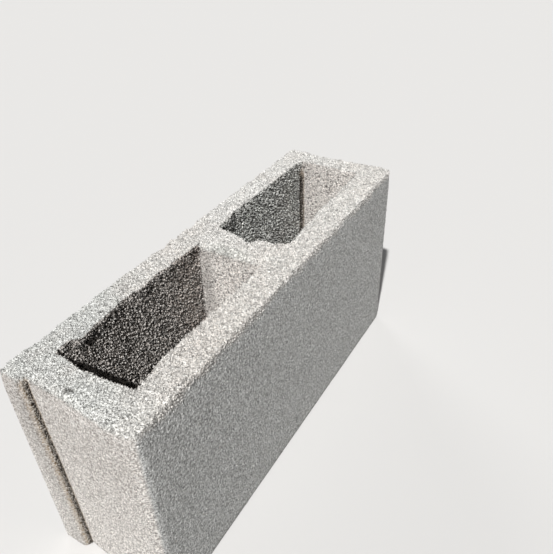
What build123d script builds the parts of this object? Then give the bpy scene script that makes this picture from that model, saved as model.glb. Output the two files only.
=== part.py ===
import os

from build123d import *

# Hollow concrete block with two cores, cast in one piece, standing as it left the mould.
# Millimetres. X runs along the block, Y across it, Z up from the face it stands on.
# The near end is the -X one.

# Overall size
block_length = 400.0
block_width = 120.0
block_height = 195.0

# Two cores, open at both ends and widest at the struck top
web_thickness = 30.0
near_end_wall = 31.0
far_end_wall = 25.0
ear_side_shell = 25.0
plain_side_shell = 29.0
core_taper_long = 5.0
core_taper_wide = 2.5
core_corner_radius = 3.0
filled_corner_radius = 9.0

# Each end: a full-height ear beside the +Y face, then a panel that steps back and runs out again
ear_width = 25.0
near_step = 6.0
far_step = 4.0
panel_runout = 20.0
near_shoulder_radius = 5.0
far_shoulder_radius = 3.0

# Upright arrises: crisp on the ear side, soft on the other
crisp_arris_radius = 4.0
soft_arris_radius = 8.0

# Wear of the top
outer_arris_radius = 2.0
core_rim_radius = 1.5
web_edge_radius = 8.0

half_length = block_length / 2
half_width = block_width / 2
ear_edge = half_width - ear_width
panel_end = panel_runout - half_width
core_length = (block_length - near_end_wall - web_thickness - far_end_wall) / 2
core_width = block_width - ear_side_shell - plain_side_shell
core_offset = (plain_side_shell - ear_side_shell) / 2
near_core_centre = near_end_wall + core_length / 2 - half_length
far_core_centre = half_length - far_end_wall - core_length / 2

with BuildPart() as concrete_block:
    # Outline seen from above, with both recessed panels
    with BuildSketch():
        with BuildLine():
            Polyline(
                (-half_length, half_width),
                (-half_length, ear_edge),
                (-half_length + near_step, ear_edge),
                (-half_length, panel_end),
                (-half_length, -half_width),
                (half_length, -half_width),
                (half_length, panel_end),
                (half_length - far_step, ear_edge),
                (half_length, ear_edge),
                (half_length, half_width),
                close=True,
            )
        make_face()
    extrude(amount=block_height)

    # Upright arrises and the rounded shoulder of each ear
    upright = concrete_block.edges().filter_by(Axis.Z)
    fillet(upright.group_by(Axis.Y)[0], soft_arris_radius)
    upright = concrete_block.edges().filter_by(Axis.Z)
    fillet(upright.group_by(Axis.Y)[-1], crisp_arris_radius)
    upright = concrete_block.edges().filter_by(Axis.Z)
    shoulders = upright.filter_by_position(Axis.Y, ear_edge, ear_edge).sort_by(Axis.X)
    fillet(shoulders[0], near_shoulder_radius)
    fillet(shoulders[-1], far_shoulder_radius)

    # Tapered cores; concrete fills out one rim corner of the +X core
    for centre_x, near_corner_radius in (
        (near_core_centre, core_corner_radius),
        (far_core_centre, filled_corner_radius),
    ):
        with BuildSketch():
            with Locations((centre_x, core_offset)):
                RectangleRounded(
                    core_length - 2 * core_taper_long, core_width - 2 * core_taper_wide, core_corner_radius
                )
        with BuildSketch(Plane.XY.offset(block_height)) as rim:
            with Locations((centre_x, core_offset)):
                Rectangle(core_length, core_width)
            corners = rim.vertices().sort_by(lambda corner: corner.X + corner.Y)
            fillet(corners[0], near_corner_radius)
            corners = rim.vertices().sort_by(lambda corner: corner.X + corner.Y)
            fillet(corners[2:], core_corner_radius)
        loft(mode=Mode.SUBTRACT)

    # Web edge towards the -X core, worn round between the two face shells
    rim_edge = near_core_centre + core_length / 2
    worn_wall = rim_edge - core_taper_long * web_edge_radius / block_height
    with BuildSketch(Plane.XZ.offset(-core_offset)):
        with Locations((worn_wall, block_height)):
            Rectangle(web_edge_radius, web_edge_radius, align=(Align.MIN, Align.MAX))
        with Locations((worn_wall + web_edge_radius, block_height - web_edge_radius)):
            Circle(web_edge_radius, mode=Mode.SUBTRACT)
    extrude(amount=core_width / 2, both=True, mode=Mode.SUBTRACT)

    # Worn edges of the struck top: the outer arris, then the core rims
    struck_top = concrete_block.faces().sort_by(Axis.Z)[-1]
    fillet(struck_top.outer_wire().edges(), outer_arris_radius)
    struck_top = concrete_block.faces().sort_by(Axis.Z)[-1]
    for rim in struck_top.inner_wires():
        fillet(rim.edges(), core_rim_radius)

concrete_block.part.label = "concrete_block"
os.makedirs("parts", exist_ok=True)
export_step(concrete_block.part, "parts/concrete_block.step")
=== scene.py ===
import math

import bpy
import numpy as np
from mathutils import Matrix, Vector


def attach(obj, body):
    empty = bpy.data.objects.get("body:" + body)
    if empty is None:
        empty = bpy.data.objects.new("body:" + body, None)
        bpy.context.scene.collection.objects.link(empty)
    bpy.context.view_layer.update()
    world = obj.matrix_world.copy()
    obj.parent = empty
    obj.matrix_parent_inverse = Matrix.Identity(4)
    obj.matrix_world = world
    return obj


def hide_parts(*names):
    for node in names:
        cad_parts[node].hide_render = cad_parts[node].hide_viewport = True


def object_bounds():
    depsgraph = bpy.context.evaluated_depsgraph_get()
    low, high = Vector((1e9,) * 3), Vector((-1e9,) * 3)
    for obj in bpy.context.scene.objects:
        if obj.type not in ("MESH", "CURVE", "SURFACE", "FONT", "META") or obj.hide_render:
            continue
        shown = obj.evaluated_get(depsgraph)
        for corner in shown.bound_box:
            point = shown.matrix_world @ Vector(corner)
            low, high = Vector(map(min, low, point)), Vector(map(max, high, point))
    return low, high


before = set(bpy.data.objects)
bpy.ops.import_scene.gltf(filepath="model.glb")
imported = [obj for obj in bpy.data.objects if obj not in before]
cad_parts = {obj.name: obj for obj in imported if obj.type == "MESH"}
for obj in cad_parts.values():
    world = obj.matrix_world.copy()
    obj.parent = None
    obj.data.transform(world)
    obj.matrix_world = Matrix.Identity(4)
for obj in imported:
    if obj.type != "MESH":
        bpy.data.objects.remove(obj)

cadBox = [list(corner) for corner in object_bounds()]
print("frame loaded", [round(high - low, 4) for low, high in zip(*cadBox)])

# Lengths are millimetres until a mesh is made.
# X runs along the block, the near end is at -X, the ears are at +Y.
block = {
    "halfLength": 200.0,
    "halfWidth": 60.0,
    "height": 195.0,
    "splitX": 3.0,  # middle of the web, where the two halves of the surface meet
    "taperLong": 5.0,
    "taperWide": 2.5,
    "coreY": (-31.0, 35.0),
    "nearCore": (12.0, 169.0),  # rim, as distances from the middle of the block
    "farCore": (18.0, 175.0),
    "cornerRadius": 3.0,
    "filledRadius": 9.0,
    "rimRadius": 1.5,
    "webRadius": 8.0,
    "arrisRadius": 2.0,
    "panelArris": 4.5,  # the near panel's top edge is worn rounder
    "footRadius": 1.0,
    "crispRadius": 4.0,
    "softRadius": 8.0,
    "shoulders": (5.0, 3.0),  # near end, far end
    "steps": (6.0, 4.0),
    "earEdge": 35.0,
    "panelEnd": -40.0,
    # how many strips the surface has along each stretch
    "longStrips": 80,
    "earStrips": (18, 5, 7, 5, 1, 4),  # side, arris, ear, shoulder, step, start of the panel
    "panelStrips": 22,
    "softStrips": (9, 6, 7, 16),  # end of the slope, flat of the panel, arris, side
    "webStrips": 30,
    "webCornerStrips": (5, 11),
    "wallRows": 60,
    "arcRows": 4,
    "topRows": 20,
    "footRows": 4,
    # lengths of the stretches that the strips are counted along
    "cornerLead": 13.0,
    "webTail": 6.0,
    "endStretch": 40.0,
    "webStretch": 12.0,
    "webLineStretch": 24.0,
    "panelSpan": (25.0, -21.0),  # the part of the panel that the middle of the core's end answers to
}

# Where the worn edges of this block run, as (along, across) pairs in block coordinates
wornEdges = {
    "nearLeftRim": (
        (-169, 36.6), (-162, 37.6), (-157, 37.4), (-154, 36.4), (-152, 33), (-148, 31.4), (-142, 32),
        (-134, 33.2), (-117, 35), (-105, 36.6), (-92, 36), (-85, 33.4), (-75, 35), (-59, 36),
        (-52, 33.8), (-40, 34.6), (-28, 33.6), (-19, 32.8), (-12, 32)),
    "nearEndRim": (
        (-34, -167.6), (-24, -168.8), (-12, -169.8), (2, -170.8), (14, -170.7), (25, -168.8), (31, -168.4),
        (36, -170)),
    "nearRightRim": (
        (-169, -34), (-162, -32), (-154, -30.6), (-140, -29.5), (-110, -29.6), (-93, -30.2), (-83, -31),
        (-12, -31)),
    "farLeftRim": (
        (18, 34), (35, 34.2), (43, 36), (49, 37.4), (60, 36.4), (100, 36), (153, 36), (167, 35), (175, 34)),
    "farRightRim": (
        (18, -33), (31, -35), (38, -35), (47, -34), (55, -33), (70, -32), (103, -31), (175, -31)),
    "farWebRim": (
        (-31, 23), (-25, 19.4), (-13, 19), (-9, 18), (-6.8, 14.5), (-4.6, 9.8), (-2.6, 9.8), (1, 12),
        (8, 15.6), (14, 17), (20, 17.2), (27, 19), (35, 21)),
    # the step beside the near ear: how far it leans, against height
    "earStep": ((0, -1.8), (38, -1.5), (110, 0), (182, 3.2), (195, 3.6)),
    # the near panel's top edge: how far it is worn back, against y
    "panelTop": (
        (-60, 0.6), (-40, 0.8), (-20, 1.2), (-10, 2.6), (-1, 3.4), (8, 1.2), (14, 0.2), (24, -0.6),
        (35, 0.2), (60, 0.4)),
}

wear = {
    "rimReach": 7.0,  # how deep the rims' own line fades into the walls
    "hollowReach": 45.0,  # the same where the rim lies back
    "notchReach": 10.0,
    "ragged": (0.7, 9.0, 0.55, 4.2),  # depth and size of a coarse and a fine raggedness
    "raggedReach": 3.5,
    "outerReach": 6.0,
}

height = block["height"]


# A stretch of a polyline cut into equal lengths; its last point is left to the next stretch
def cutEvenly(path, count):
    path = np.asarray(path, float)
    along = np.concatenate([[0], np.cumsum(np.hypot(*np.diff(path, axis=0).T))])
    wanted = np.linspace(0, along[-1], count + 1)[:-1]
    return np.stack([np.interp(wanted, along, path[:, k]) for k in (0, 1)], 1)


# Points of a circular arc: centre plus radius times (cos, sin) of evenly spaced angles
def arcPoints(centre, radius, fromDegrees, toDegrees, count=24):
    angle = np.radians(np.linspace(fromDegrees, toDegrees, count + 1))
    return np.stack([centre[0] + radius * np.cos(angle), centre[1] + radius * np.sin(angle)], 1)


# Points turned by a seeded rotation, so that no lattice lines up with the block
def turned(points, seed):
    turn = np.linalg.qr(np.random.RandomState(seed).normal(size=(3, 3)))[0]
    return points @ turn.T + 7.3 * seed


# Smooth noise from -1 to 1: random values on a lattice, blended by a quintic curve
def latticeNoise(points, size, seed):
    table = np.random.RandomState(seed).uniform(-1, 1, (48, 48, 48))
    place = turned(points, seed) / size
    cell = np.floor(place).astype(int)
    part = place - cell
    part = part ** 3 * (part * (part * 6 - 15) + 10)
    total = np.zeros(len(points))
    for corner in np.ndindex(2, 2, 2):
        weight = np.prod(np.where(corner, part, 1 - part), axis=1)
        x, y, z = ((cell + corner) % 48).T
        total += weight * table[x, y, z]
    return total


# Cellular noise: distance to the nearest of one random point in each cell, and that point's own number
def cellNoise(points, size, seed):
    source = np.random.RandomState(seed)
    spots, numbers = source.uniform(0.1, 0.9, (48, 48, 48, 3)), source.uniform(0, 1, (48, 48, 48))
    place = turned(points, seed) / size
    cell = np.floor(place).astype(int)
    nearest, number = np.full(len(points), 9.0), np.zeros(len(points))
    for shift in np.ndindex(3, 3, 3):
        other = cell + np.array(shift) - 1
        x, y, z = (other % 48).T
        distance = np.linalg.norm(place - other - spots[x, y, z], axis=1)
        closer = distance < nearest
        nearest[closer] = distance[closer]
        number[closer] = numbers[x, y, z][closer]
    return nearest * size, number


def smooth(low, high, value):
    share = np.clip((value - low) / (high - low), 0, 1)
    return share * share * (3 - 2 * share)


# A bell of height 1 about a centre, with its own reach along each axis
def bell(points, centre, reach):
    return np.exp(-(((points - centre) / reach) ** 2).sum(1))


# How much a direction faces an axis, from its part along that axis: loosely, then more strictly
def facing(part):
    return smooth(0.3, 0.8, part)


def facingSquarely(part):
    return smooth(0.5, 0.8, part)


def alongTable(name, value):
    table = np.array(wornEdges[name], float)
    return np.interp(value, table[:, 0], table[:, 1])


# Rounded rectangle of a core, from the middle of its corner at the web and the ear side, towards the end
def coreRing(span, ySpan, webRadii, endRadius):
    (e0, e1), (y0, y1) = span, ySpan
    rA, rD = webRadii
    r, lead, tail = endRadius, block["cornerLead"], block["webTail"]
    long, (shortCut, longCut) = block["longStrips"], block["webCornerStrips"]
    earCorner, softCorner = sum(block["earStrips"]), sum(block["softStrips"])
    cornerA, cornerD = (e0 + rA, y1 - rA), (e0 + rD, y0 + rD)
    return np.concatenate([
        cutEvenly([*arcPoints(cornerA, rA, 135, 90), (e0 + rA + tail, y1)], shortCut),
        cutEvenly([(e0 + rA + tail, y1), (e1 - lead, y1)], long),
        cutEvenly([(e1 - lead, y1), *arcPoints((e1 - r, y1 - r), r, 90, 0), (e1, y1 - lead)], earCorner),
        cutEvenly([(e1, y1 - lead), (e1, y0 + lead)], block["panelStrips"]),
        cutEvenly([(e1, y0 + lead), *arcPoints((e1 - r, y0 + r), r, 0, -90), (e1 - lead, y0)], softCorner),
        cutEvenly([(e1 - lead, y0), (e0 + rD + tail, y0)], long),
        cutEvenly([(e0 + rD + tail, y0), *arcPoints(cornerD, rD, -90, -135)], shortCut),
        cutEvenly([*arcPoints(cornerD, rD, -135, -180), (e0, y0 + rD + tail)], longCut),
        cutEvenly([(e0, y0 + rD + tail), (e0, y1 - rA - tail)], block["webStrips"]),
        cutEvenly([(e0, y1 - rA - tail), *arcPoints(cornerA, rA, 180, 135)], longCut),
    ])


# Outline of a half block seen from above, in the same order and with the same counts as a core's ring,
# with the outward normal at every point
def outerRing(side):
    splitE, end = side * block["splitX"], (side + 1) // 2
    h, w = block["halfLength"], block["halfWidth"]
    crisp, soft = block["crispRadius"], block["softRadius"]
    shoulder, step = block["shoulders"][end], block["steps"][end]
    ear, runout = block["earEdge"], block["panelEnd"]
    long, shortCut = block["longStrips"], block["webCornerStrips"][0]
    start, finish = block["panelSpan"]
    endStart, webEnd = h - block["endStretch"], splitE + block["webStretch"]

    def onSlope(y):
        return (h - step * (y - runout) / (ear - runout), y)

    earPaths = (
        [(endStart, w), (h - crisp, w)],
        arcPoints((h - crisp, w - crisp), crisp, 90, 0),
        [(h, w - crisp), (h, ear + shoulder)],
        arcPoints((h - shoulder, ear + shoulder), shoulder, 0, -90),
        [(h - shoulder, ear), (h - step, ear)],
        [(h - step, ear), onSlope(start)],
    )
    softPaths = (
        [onSlope(finish), (h, runout)],
        [(h, runout), (h, soft - w)],
        arcPoints((h - soft, soft - w), soft, 0, -90),
        [(h - soft, -w), (endStart, -w)],
    )
    outline = np.concatenate([
        cutEvenly([(splitE, w), (webEnd, w)], shortCut),
        cutEvenly([(webEnd, w), (endStart, w)], long),
        *[cutEvenly(path, count) for path, count in zip(earPaths, block["earStrips"])],
        cutEvenly([onSlope(start), onSlope(finish)], block["panelStrips"]),
        *[cutEvenly(path, count) for path, count in zip(softPaths, block["softStrips"])],
        cutEvenly([(endStart, -w), (webEnd, -w)], long),
        cutEvenly([(webEnd, -w), (splitE, -w)], shortCut),
        [(splitE, -w)],
    ])
    run = np.gradient(outline, axis=0)
    normal = np.stack([-run[:, 1], run[:, 0]], 1)
    normal[0], normal[-1] = (0, 1), (0, -1)
    return outline, normal / np.linalg.norm(normal, axis=1, keepdims=True)


# The line through the web that closes a half's outline, between its two ends
def webLine(outline):
    splitE, low, high = outline[0, 0], outline[-1, 1], outline[0, 1]
    longCut, stretch = block["webCornerStrips"][1], block["webLineStretch"]
    return np.concatenate([
        cutEvenly([(splitE, low), (splitE, low + stretch)], longCut),
        cutEvenly([(splitE, low + stretch), (splitE, high - stretch)], block["webStrips"]),
        cutEvenly([(splitE, high - stretch), (splitE, high)], longCut),
    ])


# Away from a closed ring, at every point: the ring's direction turned a quarter turn
def ringNormals(ring):
    run = np.roll(ring, -1, axis=0) - np.roll(ring, 1, axis=0)
    normal = np.stack([-run[:, 1], run[:, 0]], 1)
    return normal / np.linalg.norm(normal, axis=1, keepdims=True)


def withHeight(flat, z):
    return np.concatenate([flat, np.broadcast_to(z, len(flat))[:, None]], 1)


# Raggedness of an edge line from -1 to about 1 millimetre: two sizes of noise along it
def ragged(flat, side, seed):
    points = withHeight(flat * (side, 1), height)
    coarse, coarseSize, fine, fineSize = wear["ragged"]
    return coarse * latticeNoise(points, coarseSize, seed) + fine * latticeNoise(points, fineSize, seed + 1)


# How the rim of a core is moved sideways: towards its measured line, and how deep that reaches down the wall
def rimShift(side, ring, away):
    x, y = side * ring[:, 0], ring[:, 1]
    left, right = (("nearLeftRim", "nearRightRim") if side < 0 else ("farLeftRim", "farRightRim"))
    y0, y1 = block["coreY"]
    shift = np.zeros_like(ring)
    shift[:, 1] += (alongTable(left, x) - y1) * facing(away[:, 1])
    shift[:, 1] += (alongTable(right, x) - y0) * facing(-away[:, 1])
    reach = np.full(len(ring), wear["rimReach"])
    if side < 0:
        shift[:, 0] -= (alongTable("nearEndRim", y) + block["nearCore"][1]) * facing(away[:, 0])
    else:
        web = facing(-away[:, 0])
        shift[:, 0] += (alongTable("farWebRim", y) - block["farCore"][0]) * web
        reach += (wear["notchReach"] - wear["rimReach"]) * web
    reach = np.where((shift * away).sum(1) > 0, wear["hollowReach"], reach)
    return shift, reach


# Rows of a grid as arrays of points, distances, directions and face labels
def stacked(rows):
    full = [(points, distance, way, np.full(len(points), float(label)))
            for points, distance, way, label in rows]
    return [np.stack(part) for part in zip(*full)]


# One half of the block as three grids of points: core wall, rim and top; outer wall; foot.
# Each point also carries its distance to the nearest edge of the top, that edge's outward direction,
# and which face it lies on: 0 core wall, 0.5 rim, 1 top, 1.5 arris, 2 outer wall, 2.5 foot arris, 3 foot.
def halfBlock(side):
    near = side < 0
    span = block["nearCore"] if near else block["farCore"]
    webRadii = (block["cornerRadius"], block["cornerRadius"] if near else block["filledRadius"])
    long, wide = block["taperLong"], block["taperWide"]
    y0, y1 = block["coreY"]
    rim = coreRing(span, block["coreY"], webRadii, block["cornerRadius"])
    foot = coreRing((span[0] + long, span[1] - long), (y0 + wide, y1 - wide),
                    (block["cornerRadius"],) * 2, block["cornerRadius"])
    away = ringNormals(rim)
    count = len(rim)
    shift, reach = rimShift(side, rim, away)
    rimRag = ragged(rim, side, 21)[:, None] * away * (1 - 0.6 * facing(away[:, :1]) * near)
    # the rim's radius grows over the web on the near half
    radius = np.full(count, block["rimRadius"])
    if near:
        radius += (block["webRadius"] - block["rimRadius"]) * np.clip((-away[:, 0] - 0.3) / 0.6, 0, 1)
        radius -= 0.7 * facing(away[:, 0])

    topZ = height - radius
    rows = []
    down = np.linspace(1, 0, block["wallRows"] + 1)
    for share in 1 - (0.5 * down + 0.5 * down ** 2):
        z = share * topZ
        below = ((height - z) / reach)[:, None]
        flat = foot + (rim - foot) * (z / height)[:, None]
        roughEdge = rimRag * np.exp(-((height - z) / wear["raggedReach"])[:, None])
        flat = flat + shift * np.exp(-below ** 2) + roughEdge
        rows.append((withHeight(flat, z), height - z, -away, 0))
    wallTop = rows[-1][0][:, :2]
    for angle in np.radians(np.linspace(0, 90, block["arcRows"] + 1)[1:]):
        flat = wallTop + away * (radius * (1 - math.cos(angle)))[:, None]
        rows.append((withHeight(flat, topZ + radius * math.sin(angle)), np.zeros(count), -away, 0.5))
    inner = rows[-1][0][:, :2]

    outline, normal = outerRing(side)
    # worn arris: rounder over the near panel, and worn back by its own amount
    along, across = outline.T
    onPanel = near * smooth(186, 193, along) * smooth(34, 27, across) * smooth(-54, -46, across)
    arris = block["arrisRadius"] + (block["panelArris"] - block["arrisRadius"]) * onPanel
    back = 0.6 + np.clip(ragged(outline, side, 31), -0.6, 1.2) + alongTable("panelTop", across) * onPanel
    # the step beside the near ear leans
    besideEar = near * smooth(188, 192, along) * smooth(22, 32, across) * smooth(57, 46, across)
    lean = np.stack([np.zeros(len(outline)), besideEar], 1)

    def outerAt(z, inset=0.0):
        flat = outline - normal * (inset + back * np.exp(-(height - z) / wear["outerReach"]))[:, None]
        return flat + lean * alongTable("earStep", np.broadcast_to(z, len(flat)))[:, None]

    topLine = outerAt(height, arris)
    topLine[[0, -1], 0] = side * block["splitX"]
    closed = np.concatenate([topLine[:-1], webLine(topLine)])
    onWeb = np.arange(count) >= len(outline)
    closedNormal = np.concatenate([normal, np.tile(normal[-1], (count - len(outline), 1))])
    for share in np.linspace(0, 1, block["topRows"] + 1)[1:]:
        flat = inner + (closed - inner) * share
        fromRim = np.linalg.norm(flat - inner, axis=1)
        fromEdge = np.where(onWeb, 99.0, np.linalg.norm(flat - closed, axis=1))
        way = np.where((fromRim < fromEdge)[:, None], -away, closedNormal)
        rows.append((withHeight(flat, height), np.minimum(fromRim, fromEdge), way, 1))
    grids = [(rows, True)]

    rows = []
    sole = block["footRadius"]
    for angle in np.radians(np.linspace(90, 0, block["arcRows"] + 1)):
        z = height - arris + arris * math.sin(angle)
        rows.append((withHeight(outerAt(z, arris * (1 - math.cos(angle))), z), height - z, normal, 1.5))
    down = np.linspace(0, 1, block["wallRows"] + 1)[1:]
    for share in 1 - (0.75 * down + 0.25 * down ** 2):
        z = sole + (height - arris - sole) * share
        rows.append((withHeight(outerAt(z), z), height - z, normal, 2))
    rows.append((withHeight(outerAt(0, sole), 0), np.full(len(outline), height), normal, 2.5))
    for points, *_ in rows:
        points[[0, -1], 0] = side * block["splitX"]
    grids.append((rows, False))

    soleLine = rows[-1][0][:, :2]
    start = np.concatenate([soleLine[:-1], webLine(soleLine)])
    grids.append(([(withHeight(start + (foot - start) * share, 0), np.full(count, height), -away, 3)
                   for share in np.linspace(0, 1, block["footRows"] + 1)], True))
    return [(stacked(rows), closed) for rows, closed in grids]


# Quads between neighbouring rows and columns of a grid whose points are numbered from start
def gridQuads(start, rows, columns, closed, flip):
    index = start + np.arange(rows * columns).reshape(rows, columns)
    following = np.roll(index, -1, axis=1)
    if not closed:
        index, following = index[:, :-1], following[:, :-1]
    quads = np.stack([index[:-1], following[:-1], following[1:], index[1:]], -1).reshape(-1, 4)
    return quads[:, ::-1] if flip else quads


# Both halves as one closed surface: grids are stacked, then points that lie on each other become one
def blockSurface():
    points, distances, ways, faces, quads, total = [], [], [], [], [], 0
    for side in (-1, 1):
        for (grid, distance, way, label), closed in halfBlock(side):
            rows, columns = label.shape
            quads.append(gridQuads(total, rows, columns, closed, side < 0))
            points.append(grid.reshape(-1, 3) * (side, 1, 1))
            ways.append(way.reshape(-1, 2) * (side, 1))
            distances.append(distance.ravel())
            faces.append(label.ravel())
            total += rows * columns
    points, quads = np.concatenate(points), np.concatenate(quads)
    _, first, place = np.unique(np.round(points, 3), axis=0, return_index=True, return_inverse=True)
    distances, ways, faces = (np.concatenate(part)[first] for part in (distances, ways, faces))
    return points[first], distances, ways, faces, place.ravel()[quads]


# Normal of each point: the sum of its quads' diagonal cross products, made unit length
def pointNormals(points, quads):
    a, b, c, d = (points[quads[:, k]] for k in range(4))
    cross = np.cross(c - a, d - b)
    normal = np.stack([
        sum(np.bincount(quads[:, k], cross[:, axis], len(points)) for k in range(4)) for axis in range(3)], 1)
    return normal / np.linalg.norm(normal, axis=1, keepdims=True)


relief = {
    "lump": (0.35, 22.0),  # depth, size
    "wave": (0.14, 9.0),
    "grain": (0.22, 5.0),
    "pitSize": 11.0,
    "pitRadius": 2.0,
    "pitDepth": 1.3,
    "pitShare": 0.12,
    "chipDepth": 2.6,
    "chipReach": 4.0,
    "sunk": 0.7,  # how far the faces lie in, so that the crumbs on them reach the true size
    "smoothEnds": 0.35,  # share of the relief that is left on the moulded ends and long sides
    "smoothSides": 0.5,
    "crumble": ((0.6, 10.0), (0.4, 4.5)),  # share and size of a coarse and a fine noise
    "grooveDepth": 0.8,
    "roughBorder": (6.0, 4.0, 13.0),  # how far the rough top reaches down the ends: middle, spread, size
    "fineBorder": (1.5, 4.5),
    "borderBlend": 5.0,
}


# Depth of the worn, grainy surface under the smooth block, how much its edges are chipped,
# how hollow each point is, and the zones that the material tells apart
def reliefDepth(points, normals, edgeDistance, face):
    x, y, z = points.T
    fromTop = height - z
    onTop, outside = (face > 0.4) & (face < 1.6), face > 1.4
    atEnd = facingSquarely(np.abs(normals[:, 0])) * outside
    (middle, spread, size), (fineSpread, fineSize) = relief["roughBorder"], relief["fineBorder"]
    border = middle + spread * latticeNoise(points, size, 11)
    border = border + fineSpread * latticeNoise(points, fineSize, 12)
    blend = relief["borderBlend"]
    top = np.where(onTop, 1.0, smooth(border + blend, border - blend, fromTop) * outside)
    inCore = (face < 0.4).astype(float)
    panel = atEnd * (1 - top)
    side = outside * (1 - atEnd) * (1 - top)
    foot = facing(-normals[:, 2])
    moulded = np.maximum(panel, foot)
    amount = 1 - (1 - relief["smoothEnds"]) * moulded - (1 - relief["smoothSides"]) * side * (1 - foot)
    nearEdge = np.exp(-edgeDistance / relief["chipReach"])

    (lumpDepth, lumpSize), (waveDepth, waveSize) = relief["lump"], relief["wave"]
    lump = lumpDepth * (0.5 + 0.5 * latticeNoise(points, lumpSize, 1))
    wave = waveDepth * (0.5 + 0.7 * latticeNoise(points, waveSize, 2))
    grainDepth, grainSize = relief["grain"]
    distance, number = cellNoise(points, grainSize, 5)
    grain = np.sqrt(np.clip(1 - (distance / (0.62 * grainSize)) ** 2, 0, 1)) * smooth(0.1, 0.6, number)
    depth = amount * (lump + wave) + top * grainDepth * (1 - grain)
    depth += relief["sunk"] * (1 - (0.5 + 0.3 * atEnd) * outside * smooth(0, 24, fromTop)) * (1 - foot)

    distance, number = cellNoise(points, relief["pitSize"], 6)
    radius = relief["pitRadius"] * (0.5 + 0.9 * number / relief["pitShare"])
    pit = smooth(1.0, 0.35, distance / radius) * (number < relief["pitShare"])
    pit = pit * (1 - moulded - 0.6 * side * (1 - foot))
    depth += relief["pitDepth"] * pit * (1 - nearEdge)

    # edges crumble where a coarse noise is high
    (coarse, coarseSize), (fine, fineSize) = relief["crumble"]
    crumble = coarse * latticeNoise(points, coarseSize, 7) + fine * latticeNoise(points, fineSize, 8)
    chip = relief["chipDepth"] * smooth(0.0, 0.7, crumble)
    chip *= np.exp(-(edgeDistance / relief["chipReach"]) ** 2)
    # but the near core's rim at the near end stays sharp
    atEndRim = (np.abs(x + block["nearCore"][1]) < 6) * (np.abs(y) < 36)
    chip *= 1 - 0.8 * atEndRim

    # the inner corner beside the near ear gets a crease of painted shade
    step, inward = block["steps"][0], x + block["halfLength"]
    ear = block["earEdge"] + alongTable("earStep", z)
    past = np.clip(y - ear, 0, None) + np.clip(step - 0.5 - inward, 0, None) * (y > ear - 1)
    creaseShade = smooth(13.0, -3.0, past) * smooth(-2.6, -0.8, y - ear) * (inward < step + 2)
    creaseShade *= outside * smooth(2, 7, fromTop)
    # and so does a groove down one corner of the far core, which is also cut in a little
    slant = fromTop / height
    corner = np.hypot(x - block["farCore"][1] + block["taperLong"] * slant,
                      y - block["coreY"][1] + block["taperWide"] * slant)
    groove = inCore * smooth(4.2, 1.8, corner) * smooth(3, 24, fromTop) * smooth(100, 84, fromTop)
    creaseShade = np.maximum(creaseShade, groove)
    depth += relief["grooveDepth"] * groove

    zones = {"hollow": np.clip(pit, 0, 1), "top": top, "panel": panel, "side": side, "creaseShade": creaseShade,
             "litWall": inCore * facingSquarely(-normals[:, 0]), "farCore": inCore * (x > 0)}
    zones.update(toneZones(points, normals, zones, inCore, ear))
    return depth, chip, zones


# Zones of tone, placed where this block measures warmer, paler or darker in the photograph.
# That is all that is known of them: part may be its light and shade, and not the colour of the concrete.
def toneZones(points, normals, zones, inCore, ear):
    x, y, z = points.T
    fromTop = height - z
    # the top is cooler towards the near left corner and paler towards the far end
    warmth = smooth(-190, -60, x - 1.2 * y + 12 * latticeNoise(points, 40.0, 13))
    farness = smooth(-150, 70, x) * (0.62 + 0.38 * smooth(-50, 50, y))
    # it is darker on the web's worn edge and in the middle of the near end
    grime = bell(points[:, :2], (-11, 2), (6, 26)) + 0.6 * bell(points[:, :2], (-192, 2), (12, 11))
    grime = np.clip(grime * (0.75 + 0.25 * latticeNoise(points, 12.0, 14)), 0, 1)
    # the near core's walls are browner beside the web
    brown = inCore * (x < 0) * smooth(-70, -20, x + 8 * latticeNoise(points, 20.0, 15))
    # darker: the near ear's front, the ear side of the lit core walls, the last of the far core's wall
    darkerPatch = zones["panel"] * (x < -190) * (y > ear) * smooth(62, 38, y) * (0.6 + 0.4 * z / height)
    nearLit = smooth(17, 27, y) + 0.5 * smooth(18, 8, fromTop) * smooth(-6, 4, y)
    farLit = 0.3 * smooth(-8, 5, y) + 0.2 * smooth(18, 28, y)
    darkerPatch = darkerPatch + zones["litWall"] * np.where(x < 0, nearLit, farLit)
    farCorner = smooth(152, 163, x) * smooth(8, 24, fromTop) * smooth(58, 44, fromTop)
    darkerPatch = np.clip(darkerPatch + zones["farCore"] * facingSquarely(-normals[:, 1]) * farCorner, 0, 1)
    return {"warmth": warmth, "farness": farness, "grime": grime, "brown": brown, "darkerPatch": darkerPatch}


# Single holes that only this block has: place, reach and depth, as a move against the normal
def ownHoles(points):
    holes = (
        (-120.0, 42.0, height, 1.7, 2.4),
        (-190.0, 4.5, height, 2.2, 1.8),
        (-187.5, 1.0, height, 1.8, 1.6),
        (-148.0, -56.0, height, 1.5, 1.3),
        (-144.5, -55.8, height, 1.5, 1.5),
        (-141.0, -55.4, height, 1.3, 1.1),
        (-197.0, -34.3, height - 2.0, 1.8, 2.6),
        (-197.3, -33.4, height - 4.2, 1.4, 2.0),
        (-197.2, -40.8, height - 3.3, 1.8, 2.6),
        (-197.2, -42.6, height - 4.2, 1.7, 2.4),
    )
    return sum(deep * bell(points, (x, y, z), (reach,) * 3) for x, y, z, reach, deep in holes)


def meshPiece(name, points, quads, attributes, rounded):
    mesh = bpy.data.meshes.new(name)
    mesh.from_pydata((points / 1000).tolist(), [], quads.tolist())
    for label, values in attributes.items():
        mesh.attributes.new(label, "FLOAT", "POINT").data.foreach_set("value", values.astype(np.float32))
    mesh.polygons.foreach_set("use_smooth", np.full(len(quads), rounded))
    mesh.update()
    piece = bpy.data.objects.new(name, mesh)
    bpy.context.scene.collection.objects.link(piece)
    return piece


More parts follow.
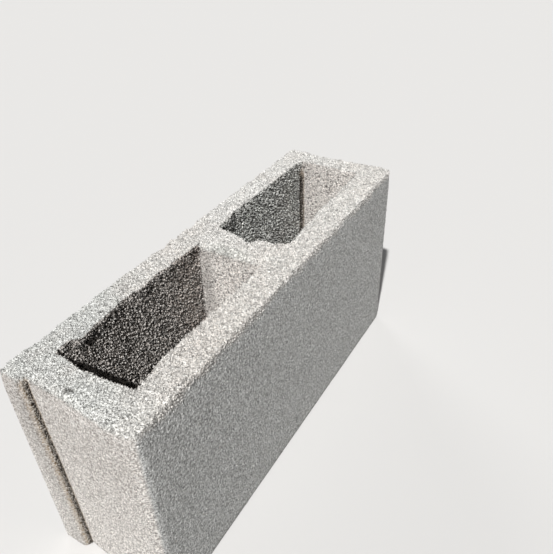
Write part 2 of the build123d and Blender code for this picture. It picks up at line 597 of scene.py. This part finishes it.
smoothPoints, edgeDistance, edgeWay, face, quads = blockSurface()
normals = pointNormals(smoothPoints, quads)
depth, chip, zones = reliefDepth(smoothPoints, normals, edgeDistance, face)
holes = ownHoles(smoothPoints)
depth += holes
zones["hollow"] = np.clip(zones["hollow"] + holes, 0, 1)
chipWay = np.concatenate([edgeWay, np.ones((len(edgeWay), 1))], 1) / math.sqrt(2)
worn = smoothPoints - normals * depth[:, None] - chipWay * chip[:, None]
low, high = (np.array(corner) * 1000 for corner in cadBox)
worn = np.clip(worn, low, high)
castBlock = meshPiece("castBlock", worn, quads, {**zones, "shade": np.full(len(worn), 0.5)}, True)
print("block surface", len(worn), "points,", 2 * len(quads), "triangles")


crumbs = {
    # square millimetres to a crumb
    "every": {"top": 2.8, "wall": 2.9, "litWall": 6.0, "side": 11.0, "panel": 400.0},
    "radius": (0.58, 1.14),
    "mouldedSize": 0.55,  # the crumbs of the moulded outer faces are smaller, those of the core walls larger
    "wallSize": 1.15,
    "litSize": 0.8,  # the core walls that face the near end are smoother
    "cornerSize": 0.72,  # towards the near left corner of the top
    "proud": (0.5, 0.36),  # how far the middle stands out, in radii: walls, top
    "perPiece": 24000,
}


# Crumbs of sand on the open faces: octahedra with six points at random distances, turned at random.
# Their middles are spread over the quads in proportion to area, evenly along the running sum of it.
def sandCrumbs(points, normals, quads, zones, face):
    source = np.random.RandomState(41)
    corners = points[quads]
    area = np.linalg.norm(np.cross(corners[:, 2] - corners[:, 0], corners[:, 3] - corners[:, 1]), axis=1) / 2
    carried = {name: values[quads].mean(1) for name, values in zones.items()}
    every, top, panel, side = crumbs["every"], carried["top"], carried["panel"], carried["side"]
    wall, lit = np.clip(1 - top - panel - side, 0, 1), carried["litWall"]
    share = top / every["top"] + panel / every["panel"] + side / every["side"]
    share += wall * ((1 - lit) / every["wall"] + lit / every["litWall"])
    share *= area * (face[quads].mean(1) < 2.4)
    running = np.cumsum(share)
    count = int(running[-1])
    chosen = np.searchsorted(running, (np.arange(count) + source.uniform(0, 1, count)) * running[-1] / count)
    u, v = source.uniform(0, 1, (2, count, 1))
    weights = np.stack([(1 - u) * (1 - v), u * (1 - v), u * v, (1 - u) * v], 1)
    middle, outward = ((weights * part[quads[chosen]]).sum(1) for part in (points, normals))
    carried = {name: values[chosen] for name, values in carried.items()}
    size = 1 + (crumbs["mouldedSize"] - 1) * (carried["panel"] + carried["side"])
    size = size + (crumbs["wallSize"] - 1) * wall[chosen]
    size += (crumbs["cornerSize"] - 1) * carried["top"] * (1 - carried["warmth"])
    size += (crumbs["litSize"] - crumbs["wallSize"]) * carried["litWall"]
    radius = source.uniform(*crumbs["radius"], (count, 1)) * size[:, None]
    onWall, onTop = crumbs["proud"]
    middle = middle + outward * radius * (onWall + (onTop - onWall) * carried["top"])[:, None]
    a, b = source.normal(size=(2, count, 3))
    a /= np.linalg.norm(a, axis=1, keepdims=True)
    b = np.cross(a, b)
    b /= np.linalg.norm(b, axis=1, keepdims=True)
    c = np.cross(a, b)
    tips = np.stack([a, b, -a, -b, c, -c], 1) * source.uniform(0.6, 1.15, (count, 6, 1)) * radius[:, None]
    tips = np.clip(middle[:, None] + tips, low + 0.02, high - 0.02)
    return tips, {**carried, "shade": source.uniform(0, 1, count)}


corner = np.array([(0, 1, 4), (1, 2, 4), (2, 3, 4), (3, 0, 4), (1, 0, 5), (2, 1, 5), (3, 2, 5), (0, 3, 5)])
tips, carried = sandCrumbs(worn, pointNormals(worn, quads), quads, zones, face)
coats = []
for piece, start in enumerate(range(0, len(tips), crumbs["perPiece"])):
    part = tips[start:start + crumbs["perPiece"]]
    triangles = (np.arange(len(part))[:, None, None] * 6 + corner).reshape(-1, 3)
    values = {name: np.repeat(value[start:start + len(part)], 6) for name, value in carried.items()}
    coats.append(meshPiece(f"sandCrumbs{piece + 1}", part.reshape(-1, 3), triangles, values, False))
print("crumbs", len(tips), "in", len(coats), "pieces")


# One socket's value, so that shader maths reads as plain arithmetic
class Wire:
    def __init__(self, shader, socket):
        self.shader, self.socket = shader, socket

    def maths(self, operation, first, second):
        return self.shader.node("ShaderNodeMath", {"operation": operation}, {0: first, 1: second})

    def __add__(self, other):
        return self.maths("ADD", self, other)

    def __radd__(self, other):
        return self.maths("ADD", other, self)

    def __sub__(self, other):
        return self.maths("SUBTRACT", self, other)

    def __rsub__(self, other):
        return self.maths("SUBTRACT", other, self)

    def __mul__(self, other):
        return self.maths("MULTIPLY", self, other)

    def __rmul__(self, other):
        return self.maths("MULTIPLY", other, self)


class Shader:
    def __init__(self, name):
        self.material = bpy.data.materials.new(name)
        self.material.use_nodes = True
        self.tree = self.material.node_tree
        self.tree.nodes.clear()

    # Makes a node, sets its settings first, then links or fills its sockets; gives back one output
    def node(self, kind, settings=None, inputs=None, output=0):
        made = self.tree.nodes.new(kind)
        for key, value in (settings or {}).items():
            setattr(made, key, value)
        for key, value in (inputs or {}).items():
            if isinstance(value, Wire):
                self.tree.links.new(value.socket, made.inputs[key])
            else:
                made.inputs[key].default_value = value
        return Wire(self, made.outputs[output]) if made.outputs else None

    def mixColour(self, factor, first, second, blend="MIX"):
        colours = [(*c, 1) if isinstance(c, tuple) else c for c in (first, second)]
        return self.node("ShaderNodeMix", {"data_type": "RGBA", "blend_type": blend},
                         {0: factor, 6: colours[0], 7: colours[1]}, 2)

    def noise(self, place, scale, detail=2.0, roughness=0.5):
        return self.node("ShaderNodeTexNoise", None,
                         {"Vector": place, "Scale": scale, "Detail": detail, "Roughness": roughness})

    def attribute(self, name):
        return self.node("ShaderNodeAttribute", {"attribute_name": name}, None, 2)

    # Maps low..high to 0..1 on a smooth curve
    def between(self, value, low, high):
        return self.node("ShaderNodeMapRange", {"interpolation_type": "SMOOTHSTEP"},
                         {"Value": value, "From Min": low, "From Max": high})


concrete = {
    "topPaste": (0.64, 0.643, 0.617),
    "warmTop": (0.645, 0.61, 0.57),
    "paleTop": (0.72, 0.71, 0.685),
    "webTop": (0.47, 0.475, 0.44),
    # painted light: the core walls are one concrete, and the far core's walls and the walls facing the key
    # are painted lighter than the near core's dim walls
    "nearWall": (0.68, 0.63, 0.585),
    "brownWall": (0.66, 0.58, 0.525),
    "farWall": (0.89, 0.89, 0.845),
    "litPaste": (0.76, 0.71, 0.665),
    "sideDark": (0.34, 0.34, 0.33),
    "sidePale": (0.74, 0.74, 0.725),
    "panelDark": (0.33, 0.30, 0.275),
    "panelPale": (0.98, 0.94, 0.89),
    "panelHigh": (0.775, 0.732, 0.69),
    "warmCloud": (0.66, 0.615, 0.575),
    "coolCloud": (0.55, 0.565, 0.53),
    # painted shade of pores, pits and holes
    "poreShadeColour": (0.10, 0.095, 0.088),
    # near black: painted shade between the grains of the dim core walls, and the darker patches
    "deepColour": (0.03, 0.027, 0.022),
    # painted shade of the crease: black in its depth, brown towards its edge
    "creaseShadeBlack": (0.012, 0.009, 0.006),
    "creaseShadeBrown": (0.36, 0.26, 0.155),
    "paleGrain": (0.86, 0.86, 0.83),
    "darkGrain": (0.30, 0.285, 0.27),
    "cloudScale": 26.0,
    "mottleScale": 120.0,
    "sandScale": 420.0,
    "gritScale": 800.0,
    "fineScale": 1400.0,
    "grainScales": (1050.0, 950.0),
    # contrast between grains: top and lit core walls, dim core walls, moulded faces
    "grainSpread": (1.3, 0.7, 0.6),
    "dustScale": 830.0,
    "roughness": 0.93,
    # top, core walls, lit core walls, ends, long sides
    "bumpHeight": (0.0020, 0.0028, 0.0010, 0.0007, 0.0014),
}


def concreteMaterial():
    shader = Shader("dryCastConcrete")
    place = shader.node("ShaderNodeTexCoord", None, None, 3)
    hollow, top, panel, side, creaseShade, litWall, farCore, shade = (
        shader.attribute(name) for name in (
            "hollow", "top", "panel", "side", "creaseShade", "litWall", "farCore", "shade"))
    warmth, farness, grime, brown, darkerPatch = (shader.attribute(name) for name in (
        "warmth", "farness", "grime", "brown", "darkerPatch"))

    cloud = shader.noise(place, concrete["cloudScale"], 3.0, 0.6)
    mottle = shader.noise(place, concrete["mottleScale"], 3.0, 0.6)
    sand = shader.noise(place, concrete["sandScale"], 1.0, 0.6)
    grit = shader.noise(place, concrete["gritScale"], 1.0, 0.6)
    fine = shader.noise(place, concrete["fineScale"], 0.0, 0.5)
    grains, dimGrains = (shader.node("ShaderNodeTexVoronoi", None, {"Vector": place, "Scale": scale}, 1)
                         for scale in concrete["grainScales"])
    dust = shader.noise(place, concrete["dustScale"], 1.0, 0.7)

    # sand: pores of painted shade where the noise is low, pale grains where it is high; finer towards the
    # near left corner
    speckle = 0.55 * sand + 0.45 * grit
    delicate = 0.4 * grit + 0.6 * fine
    speckle = speckle + (delicate - speckle) * top * (1 - warmth)
    open_ = shader.between(speckle, 0.47, 0.36)
    pale = shader.between(speckle, 0.50, 0.62)

    colour = shader.mixColour(brown, concrete["nearWall"], concrete["brownWall"])
    # painted light: the far core's walls and the walls facing the key get lighter tones of the one wall
    # concrete
    colour = shader.mixColour(farCore, colour, concrete["farWall"])
    colour = shader.mixColour(litWall, colour, concrete["litPaste"])
    paste = shader.mixColour(warmth, concrete["topPaste"], concrete["warmTop"])
    paste = shader.mixColour(farness * 0.9, paste, concrete["paleTop"])
    colour = shader.mixColour(top, colour, shader.mixColour(grime * 0.8, paste, concrete["webTop"]))
    colour = shader.mixColour(shader.between(cloud, 0.42, 0.68) * 0.4, colour, concrete["warmCloud"])
    blotch = shader.between(mottle, 0.5, 0.75) * (0.35 - 0.2 * warmth)
    colour = shader.mixColour(blotch, colour, concrete["coolCloud"])
    powder = shader.between(dust, 0.40, 0.59)
    sidePaste = shader.mixColour(powder, concrete["sideDark"], concrete["sidePale"])
    colour = shader.mixColour(side, colour, sidePaste)
    rise = shader.between(shader.node("ShaderNodeSeparateXYZ", None, {0: place}, 2), 0.0, 0.2)
    panelPale = shader.mixColour(rise, concrete["panelPale"], concrete["panelHigh"])
    colour = shader.mixColour(panel, colour, shader.mixColour(powder, concrete["panelDark"], panelPale))
    colour = shader.mixColour(pale * 0.35, colour, concrete["paleGrain"])
    colour = shader.mixColour(shader.between(shade, 0.80, 1.0) * 0.35, colour, concrete["paleGrain"])
    colour = shader.mixColour(shader.between(shade, 0.22, 0.0) * 0.4, colour, concrete["darkGrain"])
    # the pores are painted dark: painted shade in them
    pores = 0.9 - 0.52 * panel - 0.52 * side - top * (0.15 + 0.42 * warmth)
    colour = shader.mixColour(open_ * pores, colour, concrete["poreShadeColour"])
    # darker patches: the near ear's front, the ear side of the lit core walls, the last of the far core's
    # wall
    colour = shader.mixColour(darkerPatch * 0.28, colour, concrete["deepColour"])
    # every grain of sand has its own lightness
    onTop, onDim, moulded = concrete["grainSpread"]
    dim = shader.between(top + panel + side + 0.85 * litWall, 1.0, 0.0)
    spread = onTop + (onDim - onTop) * dim + (moulded - onTop) * (panel + side)
    colour = shader.mixColour(1.0, colour, 1 + (grains - 0.5) * spread, "MULTIPLY")
    # and on the dim core walls many are painted dark: painted shade between the grains
    grainShade = shader.between(dimGrains, 0.41, 0.34) * dim * 0.97
    colour = shader.mixColour(grainShade, colour, concrete["deepColour"])
    # pits and holes are painted dark: painted shade in them
    colour = shader.mixColour(shader.between(hollow, 0.35, 1.0) * 0.72, colour, concrete["poreShadeColour"])
    # crease of painted shade: black in its depth, then brown specks that thin out
    colour = shader.mixColour(shader.between(creaseShade, 0.0, 0.7) * 0.35, colour, concrete["creaseShadeBrown"])
    grainy = shader.between(creaseShade + 3.0 * (0.5 - delicate), 0.60, 0.90)
    inDepth = shader.between(creaseShade, 0.45, 0.85)
    deep = shader.mixColour(inDepth, concrete["creaseShadeBrown"], concrete["creaseShadeBlack"])
    colour = shader.mixColour(grainy * 0.97, colour, deep)

    relief = 0.9 * sand + 0.5 * grit
    onTop, onWall, onLitWall, onEnd, onSide = concrete["bumpHeight"]
    amount = onWall + (onTop - onWall) * top + (onEnd - onWall) * panel + (onSide - onWall) * side
    amount = amount + (onLitWall - onWall) * litWall
    bump = shader.node("ShaderNodeBump", None, {"Strength": 1.0, "Distance": 1.0, "Height": relief * amount})
    surface = shader.node("ShaderNodeBsdfPrincipled", None,
                          {"Base Color": colour, "Roughness": concrete["roughness"], "Normal": bump,
                           "Specular IOR Level": 0.2})
    shader.node("ShaderNodeOutputMaterial", None, {0: surface})
    return shader.material


finish = concreteMaterial()
for piece in (castBlock, *coats):
    piece.data.materials.append(finish)
    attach(piece, "root")
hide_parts("concrete_block")
print("concrete finished")

# Camera where the photograph was taken from
view = {
    "place": (-0.33811, -0.24623, 0.46195),
    "azimuth": 31.778,
    "down": 35.796,
    "roll": 2.054,
    "focalPixels": 582.74,
    "framePixels": 553,
    "sensor": 36.0,
}


def matchedCamera():
    azimuth, down, roll = (math.radians(view[key]) for key in ("azimuth", "down", "roll"))
    ahead = Vector((math.cos(down) * math.cos(azimuth), math.cos(down) * math.sin(azimuth), -math.sin(down)))
    right = ahead.cross(Vector((0, 0, 1))).normalized()
    below = ahead.cross(right)
    right, below = (math.cos(roll) * right + math.sin(roll) * below,
                    math.cos(roll) * below - math.sin(roll) * right)
    data = bpy.data.cameras.new("camera")
    data.sensor_fit = "HORIZONTAL"
    data.sensor_width = view["sensor"]
    data.lens = view["focalPixels"] / view["framePixels"] * view["sensor"]
    data.clip_start, data.clip_end = 0.01, 100
    camera = bpy.data.objects.new("camera", data)
    turn = Matrix((right, -below, -ahead)).transposed().to_4x4()
    camera.matrix_world = Matrix.Translation(view["place"]) @ turn
    bpy.context.scene.collection.objects.link(camera)
    bpy.context.scene.camera = camera


studio = {
    "floorSeen": (0.69, 0.68, 0.665),
    "floorBounce": (0.42, 0.41, 0.40),
    "floorSize": 14.0,
    "keyFrom": (-0.96, -0.28),
    "keyHeight": 52.5,
    "keyStrength": 4.1,
    "keySpread": 1.5,
    "fillFrom": (0.6, 0.8),  # a weak light from behind, for the sides that the key leaves dark
    "fillHeight": 25.0,
    "fillStrength": 0.6,
    "fillSpread": 25.0,
    "backdrop": (0.80, 0.79, 0.77),
    "worldColour": (0.93, 0.96, 1.0),
    "worldStrength": 0.075,
}


def floorMaterial():
    shader = Shader("paleFloor")
    seen = shader.node("ShaderNodeLightPath", None, None, 0)
    colour = shader.mixColour(seen, studio["floorBounce"], studio["floorSeen"])
    surface = shader.node("ShaderNodeBsdfDiffuse", None, {"Color": colour})
    shader.node("ShaderNodeOutputMaterial", None, {0: surface})
    return shader.material


def setStudio():
    half = studio["floorSize"] / 2
    mesh = bpy.data.meshes.new("floor")
    corners = [(-half, -half, 0), (half, -half, 0), (half, half, 0), (-half, half, 0)]
    mesh.from_pydata(corners, [], [(0, 1, 2, 3)])
    mesh.materials.append(floorMaterial())
    floor = bpy.data.objects.new("floor", mesh)
    bpy.context.scene.collection.objects.link(floor)

    for name in ("key", "fill"):
        lamp = bpy.data.lights.new(name, "SUN")
        lamp.energy = studio[name + "Strength"]
        lamp.angle = math.radians(studio[name + "Spread"])
        light = bpy.data.objects.new(name, lamp)
        rise = math.radians(studio[name + "Height"])
        flat = Vector(studio[name + "From"]).normalized() * math.cos(rise)
        light.rotation_mode = "QUATERNION"
        light.rotation_quaternion = Vector((flat.x, flat.y, math.sin(rise))).to_track_quat("Z", "Y")
        bpy.context.scene.collection.objects.link(light)

    # the camera sees a pale backdrop, the object a weak sky
    world = bpy.data.worlds.new("studio")
    world.use_nodes = True
    nodes, links = world.node_tree.nodes, world.node_tree.links
    sky, backdrop = nodes["Background"], nodes.new("ShaderNodeBackground")
    sky.inputs[0].default_value = (*studio["worldColour"], 1)
    sky.inputs[1].default_value = studio["worldStrength"]
    backdrop.inputs[0].default_value = (*studio["backdrop"], 1)
    either, seen = nodes.new("ShaderNodeMixShader"), nodes.new("ShaderNodeLightPath")
    links.new(seen.outputs[0], either.inputs[0])
    links.new(sky.outputs[0], either.inputs[1])
    links.new(backdrop.outputs[0], either.inputs[2])
    links.new(either.outputs[0], nodes["World Output"].inputs[0])
    bpy.context.scene.world = world
    bpy.context.scene.view_settings.view_transform = "Standard"


matchedCamera()
setStudio()
print("camera and studio set")
